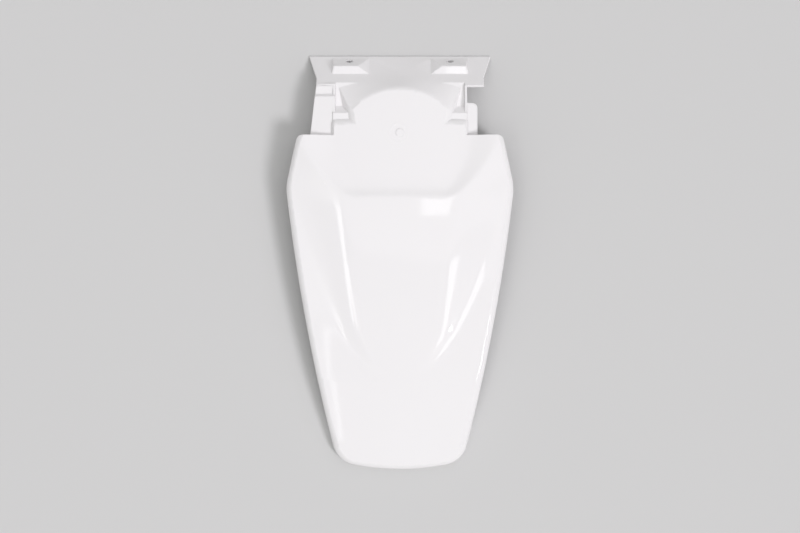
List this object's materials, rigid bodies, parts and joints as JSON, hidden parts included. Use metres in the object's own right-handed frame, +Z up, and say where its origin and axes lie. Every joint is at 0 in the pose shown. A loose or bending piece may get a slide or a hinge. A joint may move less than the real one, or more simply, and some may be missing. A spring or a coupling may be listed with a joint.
{
  "type": "motorcycle rear fender",
  "caption": "Thin-walled rear fender for a small off-road motorcycle: arched tail with rolled edges, sunken seat recess and a tilted front flange with raised bolt bosses.",
  "frame": {"origin": "middle of the fender's footprint, on the plane where its flange edge and tail rim stand", "axes": "+Y towards the front, where the flange bolts on, +Z up, +X to the side with the notch"},
  "size_m": [0.2398, 0.445, 0.0534],
  "materials": {
    "shell": "gloss white, moulded"
  },
  "bodies": {
    "root": {"rear_fender": "shell"}
  },
  "joints": []
}
